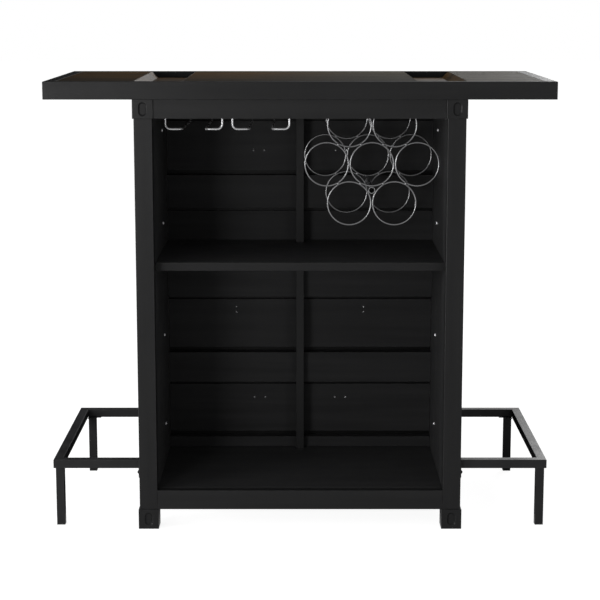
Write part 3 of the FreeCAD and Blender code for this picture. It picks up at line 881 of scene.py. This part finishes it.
def hexSocket(shape, radius):
    # the round wall of the socket drawn in to six flats
    side = math.radians(60.0)
    for vert in shape.verts:
        if abs(vert.co.xy.length - radius) < pieceMaking["mergeReach"]:
            turn = math.atan2(vert.co.y, vert.co.x) % side - side / 2
            vert.co.xy *= math.cos(side / 2) / math.cos(turn)


def makeTabBolts():
    socket = tabBolt["socket"] / 2
    washer = tabBolt["washer"] / 2
    seat = tabBolt["washerHigh"]
    radius, high, count = tabBolt["head"] / 2, tabBolt["high"], tabBolt["domeSteps"]
    steps = [socket + (radius - socket) * number / count for number in range(count + 1)]
    dome = [(across, domeHeight(radius, high, across) + seat) for across in steps]
    floor = dome[0][1] - tabBolt["deep"]
    profile = [(0.0, floor), (socket, floor)] + dome + [(washer, seat), (washer, 0.0), (0.0, 0.0)]
    shape = turnedShape(profile, tabBolt["faces"])
    hexSocket(shape, socket)
    shape = copies(shape, sideways(solidBoxes("footrest_bolts"), True))
    showPiece(shape, "footrest_bolts_seen", coverPaint, "footrest_bolts")


# Glides under the posts and the pins under the shelf

glide = {"edge": 0.0007, "faces": 40}
shelfPin = {"edge": 0.0006, "faces": 20}


def makeGlides():
    boxes = solidBoxes("post_glides")
    low, high = boxes[0]
    radius, thick, edge = (high.x - low.x) / 2, high.z - low.z, glide["edge"]
    profile = [(0.0, 0.0), (radius - edge, 0.0), (radius, edge), (radius, thick), (0.0, thick)]
    shape = copies(turnedShape(profile, glide["faces"]), standing(boxes))
    showPiece(shape, "post_glides_seen", plastic, "post_glides")


def makeShelfPins():
    boxes = solidBoxes("shelf_pins")
    low, high = boxes[0]
    radius, length, edge = (high.z - low.z) / 2, high.x - low.x, shelfPin["edge"]
    profile = [
        (0.0, 0.0), (radius, 0.0), (radius, length - edge), (radius - edge, length), (0.0, length)]
    shape = copies(turnedShape(profile, shelfPin["faces"]), sideways(boxes, False))
    showPiece(shape, "shelf_pins_seen", chrome, "shelf_pins")


makeRings()
makeRingWelds()
makeSpacer()
makeHangers()
print("bottle rack modelled")
makeStemware()
print("stemware rack modelled")
makeScrews()
makeTabBolts()
print("screws and bolts modelled")
makeGlides()
makeShelfPins()
print("glides and shelf pins modelled")


# Studio: white floor and surroundings, the main light at the front left, more from the left side,
# a little from the front right, two lamps at the rear right

studio = {
    "white": (1.0, 1.0, 1.0, 1.0),
    "ambient": 0.41,         # soft light from all around, for the object only
    "floorSize": 60.0,
    "floorTone": (0.8, 0.8, 0.8, 1.0),
    "floorLit": (0.3, 0.3, 0.3, 1.0),    # what the floor seen directly takes of light and shadow
    "floorGlow": 0.90,
    "cardTone": (0.01, 0.01, 0.01, 1.0),
}


def seenDirectly(tree):
    rays = put(tree, "LightPath").outputs
    seen = calc(tree, "MAXIMUM", rays["Is Camera Ray"], rays["Is Glossy Ray"])
    return calc(tree, "MAXIMUM", seen, rays["Is Transmission Ray"])


def makeWorld():
    world = bpy.data.worlds.new("studio")
    world.use_nodes = True
    scene.world = world
    tree = world.node_tree
    lit = tree.nodes["Background"]
    lit.inputs["Color"].default_value = studio["white"]
    lit.inputs["Strength"].default_value = studio["ambient"]
    shown = put(tree, "Background", {"Color": studio["white"], "Strength": 1.0})
    mixed = put(tree, "MixShader", {0: seenDirectly(tree), 1: lit.outputs[0], 2: shown.outputs[0]})
    tree.links.new(mixed.outputs[0], tree.nodes["World Output"].inputs["Surface"])


def stageMaterial(name):
    material = bpy.data.materials.new(name)
    material.use_nodes = True
    tree = material.node_tree
    tree.nodes.remove(tree.nodes["Principled BSDF"])
    return material, tree


def showSheet(shape, name, material):
    mesh = bpy.data.meshes.new(name)
    shape.to_mesh(mesh)
    shape.free()
    mesh.materials.append(material)
    sheet = bpy.data.objects.new(name, mesh)
    scene.collection.objects.link(sheet)
    return sheet


def makeFloor():
    material, tree = stageMaterial("paleFloor")
    plain = put(tree, "BsdfDiffuse", {"Color": studio["floorTone"]})
    lit = put(tree, "BsdfDiffuse", {"Color": studio["floorLit"]})
    glow = put(tree, "Emission", {"Color": studio["white"], "Strength": studio["floorGlow"]})
    white = put(tree, "AddShader", {0: lit.outputs[0], 1: glow.outputs[0]})
    mixed = put(tree, "MixShader", {0: seenDirectly(tree), 1: plain.outputs[0], 2: white.outputs[0]})
    tree.links.new(mixed.outputs[0], tree.nodes["Material Output"].inputs["Surface"])
    shape = bmesh.new()
    bmesh.ops.create_grid(shape, x_segments=1, y_segments=1, size=studio["floorSize"] / 2)
    showSheet(shape, "floor", material)


lamps = {
    "frontLeft": {"place": (-1.55, -3.9, 1.05), "aim": (0.0, 0.0, 0.6), "size": (0.45, 0.45), "power": 42.0},
    "lowLeft": {"place": (-2.0, -3.8, 0.85), "aim": (-0.4, 0.0, 0.9), "size": (0.5, 0.5), "power": 29.0},
    "sideLeft": {"place": (-3.6, -2.6, 1.3), "aim": (0.0, 0.0, 0.6), "size": (1.4, 1.4), "power": 88.0},
    "leftStrip": {"place": (-3.6, -0.4, 0.55), "aim": (0.0, -0.3, 0.55), "size": (1.0, 1.0), "power": 118.0},
    "frontRight": {"place": (2.0, -3.6, 0.8), "aim": (0.0, 0.0, 0.5), "size": (0.8, 0.8), "power": 14.0},
    "rearRight": {"place": (1.9, 4.5, 2.0), "aim": (0.0, 0.0, 1.0), "size": (1.3, 2.4), "power": 32.0},
    "rearHigh": {"place": (2.5, 3.4, 3.0), "aim": (0.0, 0.0, 1.0), "size": (1.8, 1.8), "power": 45.0},
}


# Dark cards behind and under the bar, for its reflections only; each fades out towards one edge
cards = {
    "rearCard": {
        "corners": ((-14.0, 6.0, 0.0), (0.95, 6.0, 0.0), (0.95, 6.0, 16.0), (-14.0, 6.0, 16.0)),
        "fadeAxis": "X", "dark": -0.25, "clear": 0.95},
    "floorCard": {
        "corners": ((-14.0, -0.3, 0.001), (14.0, -0.3, 0.001), (14.0, 6.0, 0.001), (-14.0, 6.0, 0.001)),
        "fadeAxis": "Y", "dark": -0.12, "clear": -0.3},
}


def makeCards():
    for name, card in cards.items():
        material, tree = stageMaterial(name)
        where = put(tree, "SeparateXYZ", {0: put(tree, "TexCoord").outputs["Object"]}).outputs
        fade = spread(tree, where[card["fadeAxis"]], card["dark"], card["clear"])
        dark = put(tree, "BsdfDiffuse", {"Color": studio["cardTone"]})
        clear = put(tree, "BsdfTransparent")
        mixed = put(tree, "MixShader", {0: fade, 1: dark.outputs[0], 2: clear.outputs[0]})
        tree.links.new(mixed.outputs[0], tree.nodes["Material Output"].inputs["Surface"])
        shape = bmesh.new()
        shape.faces.new([shape.verts.new(corner) for corner in card["corners"]])
        sheet = showSheet(shape, name, material)
        sheet.visible_camera = False
        sheet.visible_diffuse = False
        sheet.visible_shadow = False


def makeLamps():
    for name, lamp in lamps.items():
        light = bpy.data.lights.new(name, "AREA")
        light.shape = "RECTANGLE"
        light.size, light.size_y = lamp["size"]
        light.energy = lamp["power"]
        lampObject = bpy.data.objects.new(name, light)
        scene.collection.objects.link(lampObject)
        lampObject.location = lamp["place"]
        aim = Vector(lamp["aim"]) - Vector(lamp["place"])
        lampObject.rotation_euler = aim.to_track_quat("-Z", "Y").to_euler()


viewpoint = {
    "place": (0.0, -4.2591, 1.2588),
    "tilt": 80.005,          # degrees up from straight down
    "lens": 103.244,
    "sensor": 36.0,
}


def makeCamera():
    lensData = bpy.data.cameras.new("viewpoint")
    lensData.sensor_width = viewpoint["sensor"]
    lensData.lens = viewpoint["lens"]
    camera = bpy.data.objects.new("viewpoint", lensData)
    scene.collection.objects.link(camera)
    camera.location = viewpoint["place"]
    camera.rotation_euler = (math.radians(viewpoint["tilt"]), 0.0, 0.0)
    scene.camera = camera


makeWorld()
makeFloor()
makeCards()
makeLamps()
makeCamera()
scene.view_settings.view_transform = "Standard"
print("studio made")
